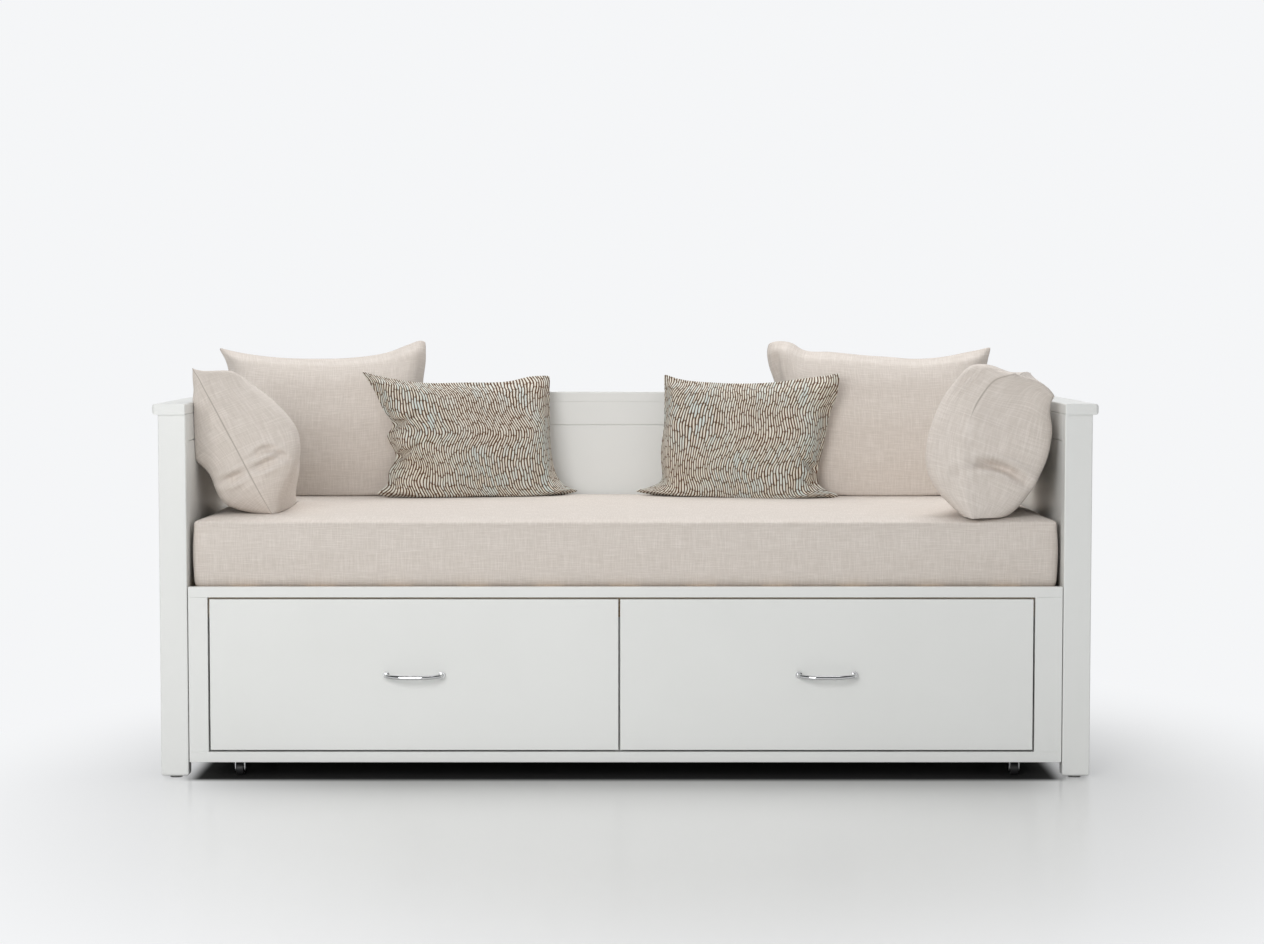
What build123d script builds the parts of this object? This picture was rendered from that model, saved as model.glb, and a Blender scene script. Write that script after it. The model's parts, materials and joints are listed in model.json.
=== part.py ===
from build123d import *
import os

# Storage daybed: a three-sided bed frame with a pull-out front that carries two drawers
# and half of the slats, a mattress and six loose cushions.
# Millimetres, +Z up, +X to the right of a person who looks at the drawers, +Y to the back.
# The origin lies on the floor, under the middle of everything that is built here.

# Bedding
mattress_length = 2004.0
mattress_width = 900.0
mattress_height = 159.0
mattress_edge = 28.0
mattress_corner = 24.0
side_play = 3.0
back_play = 5.0
front_setback = 25.0

# Fixed frame
post_width = 63.0
post_depth = 40.0
post_edge = 3.0
foot_edge = 6.0
panel_thickness = 18.0
rail_thickness = 40.0
low_rail_height = 80.0
low_rail_floor_gap = 70.0
high_rail_height = 60.5
cap_height = 25.0
cap_overhang = 13.0
cap_front_overhang = 5.0
cap_edge = 8.0
bed_height = 861.0
board_edge = 1.0
groove_width = 2.4
groove_depth = 3.0
glide_radius = 14.0
glide_height = 4.0

# Bed support
slat_count = 23
slat_width = 68.0
slat_thickness = 18.0
slat_side_margin = 6.0
beam_depth = 40.0
beam_height = 45.0
beam_clearance = 4.0
shoe_plate = 3.0
shoe_shelf = 24.0
ledger_depth = 40.0
ledger_height = 40.0

# Pull-out front
pull_out_play = 2.0
floor_gap = 36.0
front_rail_height = 24.0
front_rail_depth = 20.0
front_rail_proud = 4.0
left_stile_width = 44.5
right_stile_width = 62.5
front_ledger_depth = 18.0
carcase_depth = 620.0
carcase_board = 18.0
carcase_beam_clearance = 4.0
base_board_depth = 90.0
rear_rail_height = 100.0
divider_offset = -14.0

# Drawers
drawer_gap = 4.2
drawer_face_height = 348.5
drawer_face_thickness = 18.0
drawer_face_edge = 1.5
drawer_box_depth = 560.0
drawer_box_height = 240.0
drawer_box_lift = 20.0
drawer_wall = 12.0
drawer_floor = 5.0
drawer_floor_lift = 10.0
drawer_groove = 6.0
drawer_groove_play = 0.2

# Drawer runners
runner_space = 12.7
runner_length = 550.0
runner_setback = 4.0
runner_height = 36.0
runner_sheet = 1.5
runner_channel_depth = 11.0
runner_lift = 70.0
runner_tip_play = 0.7

# Bow handles
handle_spacing = 128.0
handle_reach = 40.0
handle_rod = 10.0
handle_droop = 4.0
handle_straight = 74.0
handle_leg = 17.0
handle_leg_bend = 14.0
handle_bow_bend = 60.0
handle_foot_radius = 7.5
handle_foot_height = 5.0
handle_screw_radius = 2.0
handle_screw_head_radius = 4.0
handle_screw_head = 3.0
handle_screw_bite = 9.0

# Casters
wheel_radius = 16.0
wheel_width = 18.0
wheel_edge = 2.5
wheel_recess = 2.0
wheel_hub_radius = 5.0
axle_radius = 2.5
axle_play = 0.05
caster_sheet = 2.0
caster_cheek_play = 0.6
caster_cheek_radius = 7.0
caster_plate_length = 44.0
caster_left_inset = 66.0
caster_right_inset = 40.0

# Frame bolts
bolt_radius = 3.0
bolt_head_radius = 7.5
bolt_head_height = 5.0
bolt_bite = 40.0
bolt_play = 0.05

# Cushions, seam to seam and with their crowns
back_cushion_width = 560.0
back_cushion_height = 409.0
back_cushion_front_crown = 95.0
back_cushion_rear_crown = 40.0
back_cushion_lean = 4.0
back_cushion_base_gap = 66.0
side_cushion_width = 540.0
side_cushion_height = 385.0
side_cushion_front_crown = 100.0
side_cushion_rear_crown = 62.0
side_cushion_lean = 28.0
side_cushion_base_gap = 182.0
side_cushion_setback = 372.0
lumbar_cushion_width = 505.0
lumbar_cushion_height = 305.0
lumbar_cushion_front_crown = 66.0
lumbar_cushion_rear_crown = 28.0
lumbar_cushion_lean = 7.0
lumbar_turn_degrees = 13.0
left_lumbar_base_gap = 150.0
right_lumbar_base_gap = 162.0
left_back_end_gap = 219.0
right_back_end_gap = 343.0
left_lumbar_offset = 378.0
right_lumbar_offset = 356.0
cushion_sink = 9.0

# Clearances
seat_play = 0.3
overrun = 5.0

# Cushion form, as shares of the half width, the half height and the crown
seam_draw_in_share = 0.83
shoulder_level_share = 0.62
shoulder_corner_share = 0.74
shoulder_side_share = 0.83
crown_corner_share = 0.34
crown_side_share = 0.46

# Heights from the floor
base_top = floor_gap + front_rail_height
drawer_face_bottom = base_top + drawer_gap
drawer_face_top = drawer_face_bottom + drawer_face_height
front_rail_bottom = drawer_face_top + drawer_gap
front_rail_top = front_rail_bottom + front_rail_height
slat_top = front_rail_top - front_rail_proud
slide_slat_bottom = slat_top - slat_thickness
beam_top = slide_slat_bottom - seat_play
beam_bottom = beam_top - beam_height
carcase_top = beam_bottom - carcase_beam_clearance
mattress_bottom = slat_top + seat_play
mattress_top = mattress_bottom + mattress_height
cushion_seat = mattress_top + seat_play
cap_bottom = bed_height - cap_height
high_rail_bottom = cap_bottom - high_rail_height
low_rail_top = low_rail_floor_gap + low_rail_height

# Places across the bed
inner_side = mattress_length / 2 + side_play
outer_side = inner_side + post_width
cap_side = outer_side + cap_overhang
pull_out_side = inner_side - pull_out_play
left_jamb = -pull_out_side + left_stile_width
right_jamb = pull_out_side - right_stile_width

# Places along the bed's depth, from the front of the handles to the back of the cap
inner_depth = front_setback + mattress_width + back_play
overall_depth = handle_reach + inner_depth + post_depth + cap_overhang
front = handle_reach - overall_depth / 2
back = front + inner_depth
back_outer = back + post_depth
cap_back = back_outer + cap_overhang
front_rail_back = front + front_rail_depth
front_ledger_back = front_rail_back + front_ledger_depth
beam_front = front_ledger_back + beam_clearance
beam_back = beam_front + beam_depth
carcase_back = front_rail_back + carcase_depth
sides = {"left": -1, "right": 1}

os.makedirs("parts", exist_ok=True)


def block(x_range, y_range, z_range, mode=Mode.ADD):
    """A rectangular board between two places on each axis."""
    low = [min(span) for span in (x_range, y_range, z_range)]
    high = [max(span) for span in (x_range, y_range, z_range)]
    with Locations(tuple((a + b) / 2 for a, b in zip(low, high))):
        return Box(*[b - a for a, b in zip(low, high)], mode=mode)


def rod(centre, radius, length, direction, mode=Mode.ADD):
    """A round rod that starts at a point and runs along an axis."""
    with BuildSketch(Plane(origin=centre, z_dir=direction)) as disc:
        Circle(radius)
    return extrude(disc.sketch, amount=length, mode=mode)


def save(piece, name):
    """Label a finished piece and write its file."""
    piece.part.label = name
    export_step(piece.part, f"parts/{name}.step")


def bolt_heights():
    """The heights of the two bolts at each end of the back."""
    return [low_rail_floor_gap + low_rail_height / 2, high_rail_bottom + high_rail_height / 2]


def bolt_holes(sign):
    """Take the bolt holes of one side out of the piece that is being made."""
    for z in bolt_heights():
        start = (sign * (outer_side - bolt_head_height), back + post_depth / 2, z)
        length = post_width + bolt_bite
        rod(start, bolt_radius + bolt_play, length, (-sign, 0, 0), Mode.SUBTRACT)
        head = (sign * (outer_side + overrun), back + post_depth / 2, z)
        depth = bolt_head_height + overrun
        rod(head, bolt_head_radius + bolt_play, depth, (-sign, 0, 0), Mode.SUBTRACT)


# Posts, with rounded edges that are wider at the foot
for side, sign in sides.items():
    for end, y_range in {"front": (front, front + post_depth), "rear": (back, back_outer)}.items():
        with BuildPart() as post:
            block((sign * inner_side, sign * outer_side), y_range, (glide_height, cap_bottom))
            fillet(post.edges().filter_by(Axis.Z), post_edge)
            fillet(post.faces().sort_by(Axis.Z)[0].edges(), foot_edge)
            if end == "rear":
                bolt_holes(sign)
        save(post, f"{side}_{end}_post")

# Plastic glides under the four posts
with BuildPart() as foot_glides:
    for sign in sides.values():
        for y in (front, back):
            centre = (sign * (inner_side + post_width / 2), y + post_depth / 2, 0)
            rod(centre, glide_radius, glide_height, (0, 0, 1))
save(foot_glides, "foot_glides")

# End panels between the posts: two rails and a thinner infill that is flush inside
end_depth = (front + post_depth, back)
for side, sign in sides.items():
    rail_span = (sign * inner_side, sign * (inner_side + rail_thickness))
    with BuildPart() as end_top_rail:
        block(rail_span, end_depth, (high_rail_bottom, cap_bottom))
        fillet(end_top_rail.edges(), board_edge)
    save(end_top_rail, f"{side}_end_top_rail")

    with BuildPart() as end_bottom_rail:
        block(rail_span, end_depth, (low_rail_floor_gap, low_rail_top))
        fillet(end_bottom_rail.edges(), board_edge)
    save(end_bottom_rail, f"{side}_end_bottom_rail")

    with BuildPart() as end_panel:
        infill = (sign * inner_side, sign * (inner_side + panel_thickness))
        block(infill, end_depth, (low_rail_top, high_rail_bottom))
        groove = (sign * (inner_side - overrun), sign * (inner_side + groove_depth))
        levels = (high_rail_bottom - groove_width, high_rail_bottom + overrun)
        block(groove, (front, back + overrun), levels, Mode.SUBTRACT)
    save(end_panel, f"{side}_end_panel")

    with BuildPart() as end_cap:
        reach = (front - cap_front_overhang, cap_back)
        block((sign * inner_side, sign * cap_side), reach, (cap_bottom, bed_height))
        outer_edges = end_cap.faces().sort_by(Axis.X)[0 if sign < 0 else -1].edges()
        fillet(outer_edges, cap_edge)
        rest = end_cap.faces().sort_by(Axis.X)[-1 if sign < 0 else 0].edges()
        fillet(rest, post_edge)
    save(end_cap, f"{side}_cap")

# Back between the rear posts, built like the end panels
back_span = (-inner_side, inner_side)
with BuildPart() as back_top_rail:
    block(back_span, (back, back_outer), (high_rail_bottom, cap_bottom))
    fillet(back_top_rail.edges(), board_edge)
    for sign in sides.values():
        bolt_holes(sign)
save(back_top_rail, "back_top_rail")

with BuildPart() as back_bottom_rail:
    block(back_span, (back, back_outer), (low_rail_floor_gap, low_rail_top))
    fillet(back_bottom_rail.edges(), board_edge)
    for sign in sides.values():
        bolt_holes(sign)
save(back_bottom_rail, "back_bottom_rail")

with BuildPart() as back_panel:
    block(back_span, (back, back + panel_thickness), (low_rail_top, high_rail_bottom))
    groove = (back - overrun, back + groove_depth)
    levels = (high_rail_bottom - groove_width, high_rail_bottom + overrun)
    block((-outer_side, outer_side), groove, levels, Mode.SUBTRACT)
save(back_panel, "back_panel")

with BuildPart() as back_cap:
    block(back_span, (back, cap_back), (cap_bottom, bed_height))
    fillet(back_cap.faces().sort_by(Axis.Y)[-1].edges().filter_by(Axis.X), cap_edge)
    fillet(back_cap.faces().sort_by(Axis.Y)[0].edges().filter_by(Axis.X), board_edge)
save(back_cap, "back_cap")

# Bolts that draw the back against the rear posts
with BuildPart() as frame_bolts:
    for sign in sides.values():
        for z in bolt_heights():
            head = (sign * outer_side, back + post_depth / 2, z)
            rod(head, bolt_head_radius, bolt_head_height, (-sign, 0, 0))
            shank = post_width + bolt_bite - bolt_head_height
            rod(head, bolt_radius, shank, (-sign, 0, 0))
save(frame_bolts, "frame_bolts")

# Fixed bed support: a beam on steel shoes behind the front, and a ledger on the back
beam_side = inner_side - shoe_plate
with BuildPart() as front_support_beam:
    block((-beam_side, beam_side), (beam_front, beam_back), (beam_bottom, beam_top))
    fillet(front_support_beam.edges().filter_by(Axis.X), board_edge)
save(front_support_beam, "front_support_beam")

with BuildPart() as beam_shoes:
    for sign in sides.values():
        levels = (beam_bottom - shoe_plate, beam_top)
        block((sign * beam_side, sign * inner_side), (beam_front, beam_back), levels)
        shelf = (sign * (inner_side - shoe_shelf), sign * beam_side)
        block(shelf, (beam_front, beam_back), (beam_bottom - shoe_plate, beam_bottom))
save(beam_shoes, "beam_shoes")

with BuildPart() as rear_slat_ledger:
    block(back_span, (back - ledger_depth, back), (beam_top - ledger_height, beam_top))
    fillet(rear_slat_ledger.edges().filter_by(Axis.X), board_edge)
save(rear_slat_ledger, "rear_slat_ledger")

# Slats in two combs: every other one belongs to the fixed frame, the rest to the pull-out
first_slat = -inner_side + slat_side_margin + slat_width / 2
slat_pitch = -2 * first_slat / (slat_count - 1)
slat_places = [first_slat + slat_pitch * n for n in range(slat_count)]


def slats(places, y_range, z_range):
    """A row of slats with softened long edges."""
    for x in places:
        block((x - slat_width / 2, x + slat_width / 2), y_range, z_range)


with BuildPart() as fixed_slats:
    slats(slat_places[::2], (beam_front, back), (beam_top, beam_top + slat_thickness))
    fillet(fixed_slats.edges().filter_by(Axis.Y), board_edge)
save(fixed_slats, "fixed_slats")

with BuildPart() as pull_out_slats:
    reach = (front_rail_back, front_setback + mattress_width + front)
    slats(slat_places[1::2], reach, (slide_slat_bottom, slat_top))
    fillet(pull_out_slats.edges().filter_by(Axis.Y), board_edge)
save(pull_out_slats, "pull_out_slats")

# Pull-out front: two long rails and two stiles round the drawers
front_rail_span = (-pull_out_side, pull_out_side)
with BuildPart() as front_top_rail:
    block(front_rail_span, (front, front_rail_back), (front_rail_bottom, front_rail_top))
    fillet(front_top_rail.faces().sort_by(Axis.Y)[0].edges(), board_edge)
save(front_top_rail, "front_top_rail")

with BuildPart() as front_bottom_rail:
    block(front_rail_span, (front, front + base_board_depth), (floor_gap, base_top))
    fillet(front_bottom_rail.faces().sort_by(Axis.Y)[0].edges(), board_edge)
save(front_bottom_rail, "front_bottom_rail")

with BuildPart() as front_slat_ledger:
    block(front_rail_span, (front_rail_back, front_ledger_back), (carcase_top, slide_slat_bottom))
save(front_slat_ledger, "front_slat_ledger")

stile_spans = {"left": (-pull_out_side, left_jamb), "right": (right_jamb, pull_out_side)}
for side, span in stile_spans.items():
    with BuildPart() as stile:
        block(span, (front, front_rail_back), (base_top, front_rail_bottom))
        fillet(stile.edges().filter_by(Axis.Z), board_edge)
    save(stile, f"{side}_stile")

# Carcase behind the front: two sides, a divider, a rear rail and a rear base board
carcase_faces = {"left": left_jamb, "right": right_jamb}
for side, sign in sides.items():
    inner_face = carcase_faces[side]
    with BuildPart() as carcase_side:
        span = (inner_face, inner_face + sign * carcase_board)
        block(span, (front_rail_back, carcase_back), (base_top, carcase_top))
    save(carcase_side, f"{side}_carcase_side")

divider_faces = (divider_offset - carcase_board / 2, divider_offset + carcase_board / 2)
rear_rail_front = carcase_back - carcase_board
with BuildPart() as centre_divider:
    block(divider_faces, (front_rail_back, rear_rail_front), (base_top, carcase_top))
save(centre_divider, "centre_divider")

with BuildPart() as rear_cross_rail:
    levels = (carcase_top - rear_rail_height, carcase_top)
    block((left_jamb, right_jamb), (rear_rail_front, carcase_back), levels)
save(rear_cross_rail, "rear_cross_rail")

with BuildPart() as rear_bottom_rail:
    span = (left_jamb - carcase_board, right_jamb + carcase_board)
    block(span, (carcase_back - base_board_depth, carcase_back), (floor_gap, base_top))
save(rear_bottom_rail, "rear_bottom_rail")

# Casters under the base boards: at each place a wheel in a steel fork with a riveted axle
caster_x = {"left": left_jamb + caster_left_inset, "right": right_jamb - caster_right_inset}
caster_y = {"front": front + base_board_depth / 2, "rear": carcase_back - base_board_depth / 2}
cheek_inner = wheel_width / 2 + caster_cheek_play
cheek_outer = cheek_inner + caster_sheet
plate_bottom = floor_gap - caster_sheet

with BuildPart() as caster_forks:
    for x in caster_x.values():
        for y in caster_y.values():
            plate = (y - caster_plate_length / 2, y + caster_plate_length / 2)
            block((x - cheek_outer, x + cheek_outer), plate, (plate_bottom, floor_gap))
            for sign in sides.values():
                origin = (x + sign * cheek_inner, y, wheel_radius)
                with BuildSketch(Plane(origin=origin, x_dir=(0, 1, 0), z_dir=(sign, 0, 0))) as cheek:
                    with BuildLine():
                        top = plate_bottom - wheel_radius
                        reach = caster_cheek_radius * sign
                        Polyline((reach, 0), (reach, top * sign), (-reach, top * sign), (-reach, 0))
                        ThreePointArc((-reach, 0), (0, -reach), (reach, 0))
                    make_face()
                extrude(cheek.sketch, amount=caster_sheet)
            rod((x - cheek_outer, y, wheel_radius), axle_radius, 2 * cheek_outer, (1, 0, 0))
save(caster_forks, "caster_forks")

for side, x in caster_x.items():
    for end, y in caster_y.items():
        start = x - wheel_width / 2
        with BuildPart() as wheel:
            rod((start, y, wheel_radius), wheel_radius, wheel_width, (1, 0, 0))
            fillet(wheel.edges().filter_by(GeomType.CIRCLE), wheel_edge)
            for face_x, sign in ((start, 1), (start + wheel_width, -1)):
                with BuildSketch(Plane(origin=(face_x, y, wheel_radius), z_dir=(sign, 0, 0))) as dish:
                    Circle(wheel_radius - 2 * wheel_edge)
                    Circle(wheel_hub_radius, mode=Mode.SUBTRACT)
                extrude(dish.sketch, amount=wheel_recess, mode=Mode.SUBTRACT)
            bore = (start - overrun, y, wheel_radius)
            bore_length = wheel_width + 2 * overrun
            rod(bore, axle_radius + axle_play, bore_length, (1, 0, 0), Mode.SUBTRACT)
        save(wheel, f"{side}_{end}_caster_wheel")

# Drawer runners: a channel on the carcase and a bar on the drawer that hangs in it
runner_y = (front_rail_back + runner_setback, front_rail_back + runner_setback + runner_length)
runner_bottom = drawer_face_bottom + runner_lift
bay_faces = {"left": (left_jamb, divider_faces[0]), "right": (divider_faces[1], right_jamb)}

with BuildPart() as carcase_runners:
    for faces in bay_faces.values():
        for face, sign in zip(faces, (1, -1)):
            levels = (runner_bottom, runner_bottom + runner_height)
            block((face, face + sign * runner_channel_depth), runner_y, levels)
            groove = (face + sign * runner_sheet, face + sign * (runner_channel_depth + overrun))
            hollow = (runner_bottom + runner_sheet, runner_bottom + runner_height - runner_sheet)
            run = (runner_y[0] - overrun, runner_y[1] + overrun)
            block(groove, run, hollow, Mode.SUBTRACT)
save(carcase_runners, "carcase_runners")

# Drawers
box_bottom = drawer_face_bottom + drawer_box_lift
box_top = box_bottom + drawer_box_height
face_back = front + drawer_face_thickness
box_back = face_back + drawer_box_depth
groove_z = box_bottom + drawer_floor_lift
handle_z = drawer_face_bottom + drawer_face_height / 2
drawer_spans = {
    "left": (left_jamb + drawer_gap, divider_offset - drawer_gap / 2),
    "right": (divider_offset + drawer_gap / 2, right_jamb - drawer_gap),
}

for side, span in drawer_spans.items():
    walls = (bay_faces[side][0] + runner_space, bay_faces[side][1] - runner_space)
    middle = sum(span) / 2
    screw_places = [middle - handle_spacing / 2, middle + handle_spacing / 2]

    with BuildPart() as drawer_front:
        block(span, (front, face_back), (drawer_face_bottom, drawer_face_top))
        fillet(drawer_front.faces().sort_by(Axis.Y)[0].edges(), drawer_face_edge)
        for x in screw_places:
            start = (x, front - overrun, handle_z)
            length = drawer_face_thickness + 2 * overrun
            rod(start, handle_screw_radius + bolt_play, length, (0, 1, 0), Mode.SUBTRACT)
    save(drawer_front, f"{side}_drawer_front")

    with BuildPart() as drawer_sides:
        for wall, sign in zip(walls, (1, -1)):
            block((wall, wall + sign * drawer_wall), (face_back, box_back), (box_bottom, box_top))
            slot = (wall + sign * (drawer_wall - drawer_groove), wall + sign * (drawer_wall + overrun))
            levels = (groove_z - drawer_groove_play, groove_z + drawer_floor + drawer_groove_play)
            block(slot, (face_back - overrun, box_back + overrun), levels, Mode.SUBTRACT)
    save(drawer_sides, f"{side}_drawer_sides")

    inner_walls = (walls[0] + drawer_wall, walls[1] - drawer_wall)
    with BuildPart() as drawer_back:
        levels = (groove_z + drawer_floor + drawer_groove_play, box_top)
        block(inner_walls, (box_back - drawer_wall, box_back), levels)
    save(drawer_back, f"{side}_drawer_back")

    with BuildPart() as drawer_bottom:
        reach = drawer_groove - drawer_groove_play
        floor_span = (inner_walls[0] - reach, inner_walls[1] + reach)
        block(floor_span, (face_back, box_back), (groove_z, groove_z + drawer_floor))
    save(drawer_bottom, f"{side}_drawer_bottom")

    with BuildPart() as drawer_runners:
        for face, wall, sign in zip(bay_faces[side], walls, (1, -1)):
            tip = face + sign * (runner_sheet + runner_tip_play)
            low = runner_bottom + runner_sheet + seat_play
            high = runner_bottom + runner_height - runner_sheet - seat_play
            block((tip, wall), runner_y, (low, high))
    save(drawer_runners, f"{side}_drawer_runners")

    # The bow: a rod on a flat path of straight runs and arcs, on two round feet
    foot = Plane(origin=(middle, front, handle_z), x_dir=(1, 0, 0), z_dir=(0, 0, 1))
    tilted = foot.rotated((handle_droop, 0, 0))
    with BuildPart() as handle:
        with BuildLine(tilted) as bow:
            grip = handle_rod / 2 - handle_reach
            half = handle_spacing / 2
            FilletPolyline(
                (-half, 0),
                (-half, -handle_leg),
                (-handle_straight / 2, grip),
                (handle_straight / 2, grip),
                (half, -handle_leg),
                (half, 0),
                radius=[handle_leg_bend, handle_bow_bend, handle_bow_bend, handle_leg_bend],
            )
        with BuildSketch(Plane(origin=bow.line @ 0, z_dir=bow.line % 0)):
            Circle(handle_rod / 2)
        sweep()
        for x in screw_places:
            rod((x, front - handle_foot_height, handle_z), handle_foot_radius, handle_foot_height, (0, 1, 0))
            block(
                (x - handle_foot_radius, x + handle_foot_radius),
                (front, front + overrun),
                (handle_z - handle_foot_radius, handle_z + handle_foot_radius),
                Mode.SUBTRACT,
            )
            start = (x, front, handle_z)
            length = handle_screw_bite + bolt_play
            rod(start, handle_screw_radius + bolt_play, length, (0, -1, 0), Mode.SUBTRACT)
    save(handle, f"{side}_handle")

    with BuildPart() as handle_screws:
        for x in screw_places:
            head = (x, face_back, handle_z)
            rod(head, handle_screw_head_radius, handle_screw_head, (0, 1, 0))
            shank = drawer_face_thickness + handle_screw_bite
            rod(head, handle_screw_radius, shank, (0, -1, 0))
    save(handle_screws, f"{side}_handle_screws")

# Mattress with rounded edges all round
with BuildPart() as mattress:
    span = (-mattress_length / 2, mattress_length / 2)
    depth = (front + front_setback, front + front_setback + mattress_width)
    block(span, depth, (mattress_bottom, mattress_top))
    fillet(mattress.edges().filter_by(Axis.Z), mattress_corner)
    fillet(mattress.faces().sort_by(Axis.Z)[-1].edges(), mattress_edge)
    fillet(mattress.faces().sort_by(Axis.Z)[0].edges(), mattress_edge / 2)
save(mattress, "mattress")


def cushion_outline(plane, width, height, corner_share, side_share):
    """Four arcs between four corners: hollow at the seam, round towards the crown."""
    x, y = width / 2 * corner_share, height / 2 * corner_share
    x_side, y_side = width / 2 * side_share, height / 2 * side_share
    with BuildSketch(plane) as outline:
        with BuildLine():
            ThreePointArc((-x, -y), (0, -y_side), (x, -y))
            ThreePointArc((x, -y), (x_side, 0), (x, y))
            ThreePointArc((x, y), (0, y_side), (-x, y))
            ThreePointArc((-x, y), (-x_side, 0), (-x, -y))
        make_face()
    return outline.sketch


def crowned_halves(plane, width, height, front_crown, rear_crown):
    """Both halves of a filled cushion, which meet at the seam in the given plane."""
    for crown in (front_crown, -rear_crown):
        seam = cushion_outline(plane, width, height, 1, seam_draw_in_share)
        level = plane.offset(crown * shoulder_level_share)
        shoulder = cushion_outline(level, width, height, shoulder_corner_share, shoulder_side_share)
        top = cushion_outline(
            plane.offset(crown), width, height, crown_corner_share, crown_side_share
        )
        loft([seam, shoulder, top])


def press_against_frame():
    """Flatten the cushion that is being made where it rests on the mattress or the frame."""
    wide = (-2 * outer_side, 2 * outer_side)
    deep = (2 * front, 2 * back_outer)
    below_cap = (0, bed_height + seat_play)
    block(wide, deep, (0, cushion_seat), Mode.SUBTRACT)
    block(wide, (back - seat_play, 2 * back_outer), below_cap, Mode.SUBTRACT)
    for sign in sides.values():
        beyond = (sign * (inner_side - seat_play), sign * 2 * outer_side)
        block(beyond, deep, below_cap, Mode.SUBTRACT)


def standing_plane(x, y, across, turn, lean, height):
    """The seam plane of a cushion that stands on the mattress, turned and then leaned back."""
    width_dir = Vector(*across).rotate(Axis.Z, turn)
    height_dir = Vector(0, 0, 1).rotate(Axis((0, 0, 0), width_dir), -lean)
    middle = Vector(x, y, cushion_seat - cushion_sink) + height_dir * (height / 2)
    return Plane(origin=middle, x_dir=width_dir, z_dir=width_dir.cross(height_dir))


def cushion(name, plane, width, height, front_crown, rear_crown):
    """Make one cushion and write its file."""
    with BuildPart() as filled:
        crowned_halves(plane, width, height, front_crown, rear_crown)
        press_against_frame()
    save(filled, name)


# Two large cushions against the back, each at its own distance from the end panel
back_centres = {"left": left_back_end_gap - inner_side, "right": inner_side - right_back_end_gap}
for side, x in back_centres.items():
    place = (x, back - back_cushion_base_gap, (1, 0, 0))
    seam_plane = standing_plane(*place, 0, back_cushion_lean, back_cushion_height)
    crowns = (back_cushion_front_crown, back_cushion_rear_crown)
    cushion(f"{side}_back_cushion", seam_plane, back_cushion_width, back_cushion_height, *crowns)

# Two against the end panels
for side, sign in sides.items():
    x = sign * (inner_side - side_cushion_base_gap)
    place = (x, front + side_cushion_setback, (0, -sign, 0))
    seam_plane = standing_plane(*place, 0, side_cushion_lean, side_cushion_height)
    crowns = (side_cushion_front_crown, side_cushion_rear_crown)
    cushion(f"{side}_side_cushion", seam_plane, side_cushion_width, side_cushion_height, *crowns)

# Two small ones in front, with their outer ends turned forward
lumbar_places = {
    "left": (back_centres["left"] + left_lumbar_offset, back - left_lumbar_base_gap),
    "right": (back_centres["right"] - right_lumbar_offset, back - right_lumbar_base_gap),
}
for side, sign in sides.items():
    place = (*lumbar_places[side], (1, 0, 0))
    turn = -sign * lumbar_turn_degrees
    seam_plane = standing_plane(*place, turn, lumbar_cushion_lean, lumbar_cushion_height)
    crowns = (lumbar_cushion_front_crown, lumbar_cushion_rear_crown)
    cushion(f"{side}_lumbar_cushion", seam_plane, lumbar_cushion_width, lumbar_cushion_height, *crowns)
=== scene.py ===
# %% [markdown]
# # Dressing a storage daybed
# The hard pieces of this daybed come ready made, each at its real size and place. What is
# left for Blender is what the eye reads first: the sprayed paint, the chromed handles, the
# grain of the slats, and everything soft. The mattress and the six cushions are made here as
# cloth that is filled and then pushed into place.

# %% Load the frame
import bpy
import json
import math
import numpy as np
from mathutils import Matrix, Vector
from mathutils.bvhtree import BVHTree


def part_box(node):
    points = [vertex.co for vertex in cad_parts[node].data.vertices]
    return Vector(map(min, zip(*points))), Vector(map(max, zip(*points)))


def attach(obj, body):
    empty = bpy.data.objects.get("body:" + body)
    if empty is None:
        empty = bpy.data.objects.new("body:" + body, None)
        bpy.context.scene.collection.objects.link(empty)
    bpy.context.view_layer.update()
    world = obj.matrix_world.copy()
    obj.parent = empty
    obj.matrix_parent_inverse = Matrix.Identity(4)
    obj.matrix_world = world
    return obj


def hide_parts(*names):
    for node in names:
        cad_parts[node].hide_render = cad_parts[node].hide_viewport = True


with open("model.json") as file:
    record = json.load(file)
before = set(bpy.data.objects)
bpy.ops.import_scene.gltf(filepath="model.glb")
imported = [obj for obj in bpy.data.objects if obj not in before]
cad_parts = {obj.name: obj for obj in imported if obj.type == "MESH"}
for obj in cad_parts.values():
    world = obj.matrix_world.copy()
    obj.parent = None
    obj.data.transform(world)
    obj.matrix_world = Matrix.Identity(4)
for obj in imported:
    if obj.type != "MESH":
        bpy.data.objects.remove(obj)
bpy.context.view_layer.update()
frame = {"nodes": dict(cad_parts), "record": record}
nodes = frame["nodes"]

# %% Sizes that the frame gives
mm = 0.001
play = 0.3 * mm
mattress_low, mattress_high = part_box("mattress")
seat = mattress_high.z + play
front_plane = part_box("front_top_rail")[0].y
back_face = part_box("back_panel")[0].y
inner_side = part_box("right_end_panel")[0].x
cap_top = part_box("left_cap")[1].z
print("seat height", round(seat, 4), "inner width", round(2 * inner_side, 4))

# %% [markdown]
# ## The camera
# The photograph was taken from a little above the seat, about six metres away with a long
# lens, so upright lines stay upright. The lens is given by its focal length in pixels of the
# frame, because that is what fitting a camera to the photograph gives.

# %% Camera
photo_width = 1264
photo_height = 944
focal_pixels = 2676.2
sensor_width = 36.0
camera_distance = 6108 * mm
camera_height = 1066.6 * mm
camera_side_step = 15.2 * mm
camera_tilt = 0.0591

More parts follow.
